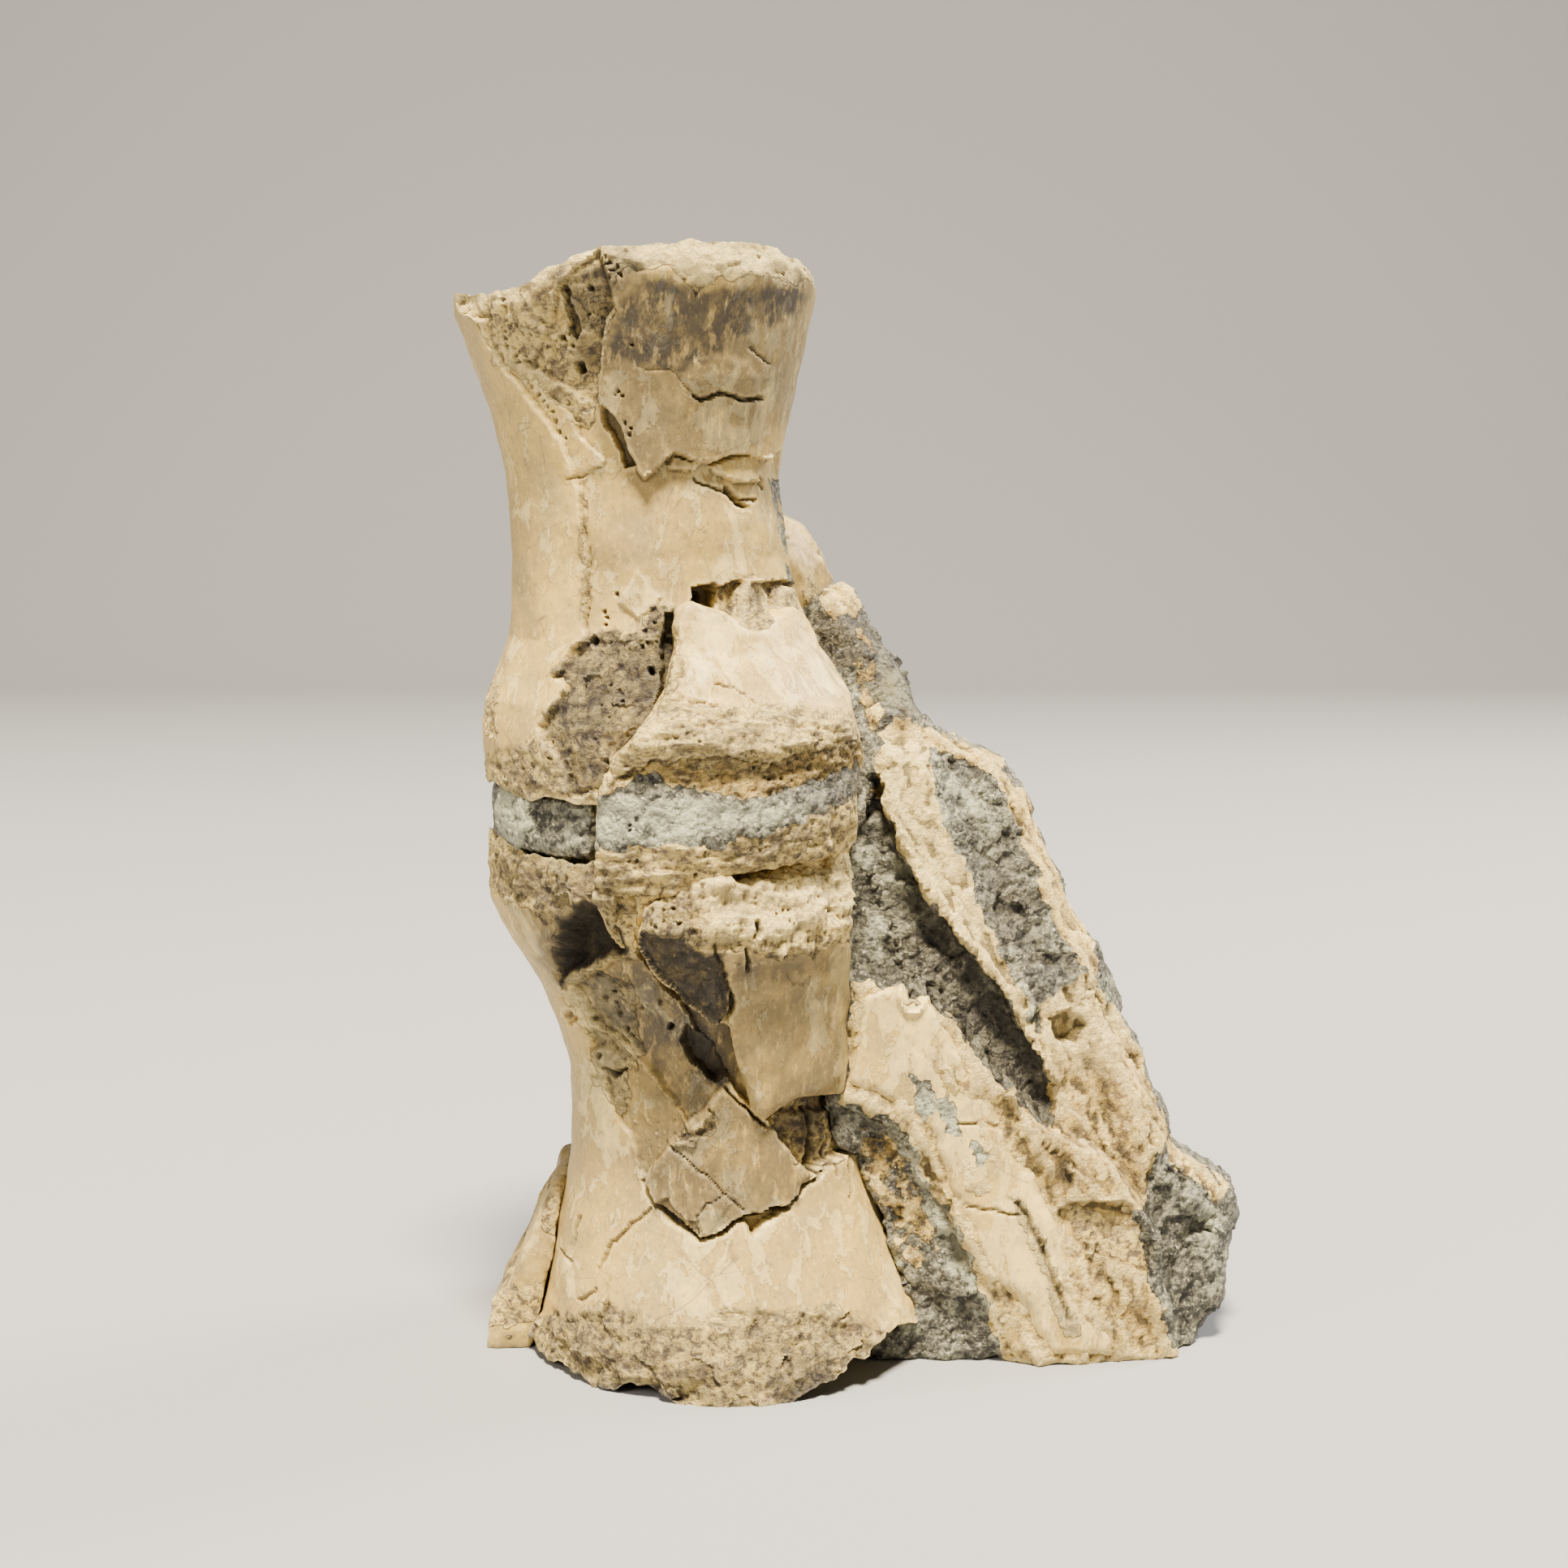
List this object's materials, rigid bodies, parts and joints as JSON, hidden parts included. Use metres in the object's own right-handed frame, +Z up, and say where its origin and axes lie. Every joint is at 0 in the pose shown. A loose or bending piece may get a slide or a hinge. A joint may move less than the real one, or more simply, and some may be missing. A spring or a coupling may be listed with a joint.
{
  "type": "ichthyosaur bone fossil",
  "caption": "Spool-shaped fossil bones lying end to end, standing upright with a broken wedge across their joint and the dark matrix rock that holds them behind and beside.",
  "frame": {"origin": "on the ground the fossil stands on, under the middle of its overall box", "axes": "+Z up along the column of bones, -Y towards the broken front with the wedge, +X towards the side with the rock slope"},
  "size_m": [0.1059, 0.0664, 0.1451],
  "materials": {
    "bone": "matte mineralised bone, warm tan to cream, smooth where the outer layer survives and rough and porous where it is broken",
    "rock": "matte dark grey to blue-grey gritty limestone with tan weathered edges"
  },
  "bodies": {
    "root": {"upper_bone": "bone", "lower_bone": "bone", "front_wedge": "bone", "lower_shard": "bone", "flank_bone": "bone", "bone_end": "bone", "rib_slab": "bone", "joint_rock": "rock", "side_rock": "rock"}
  },
  "joints": []
}
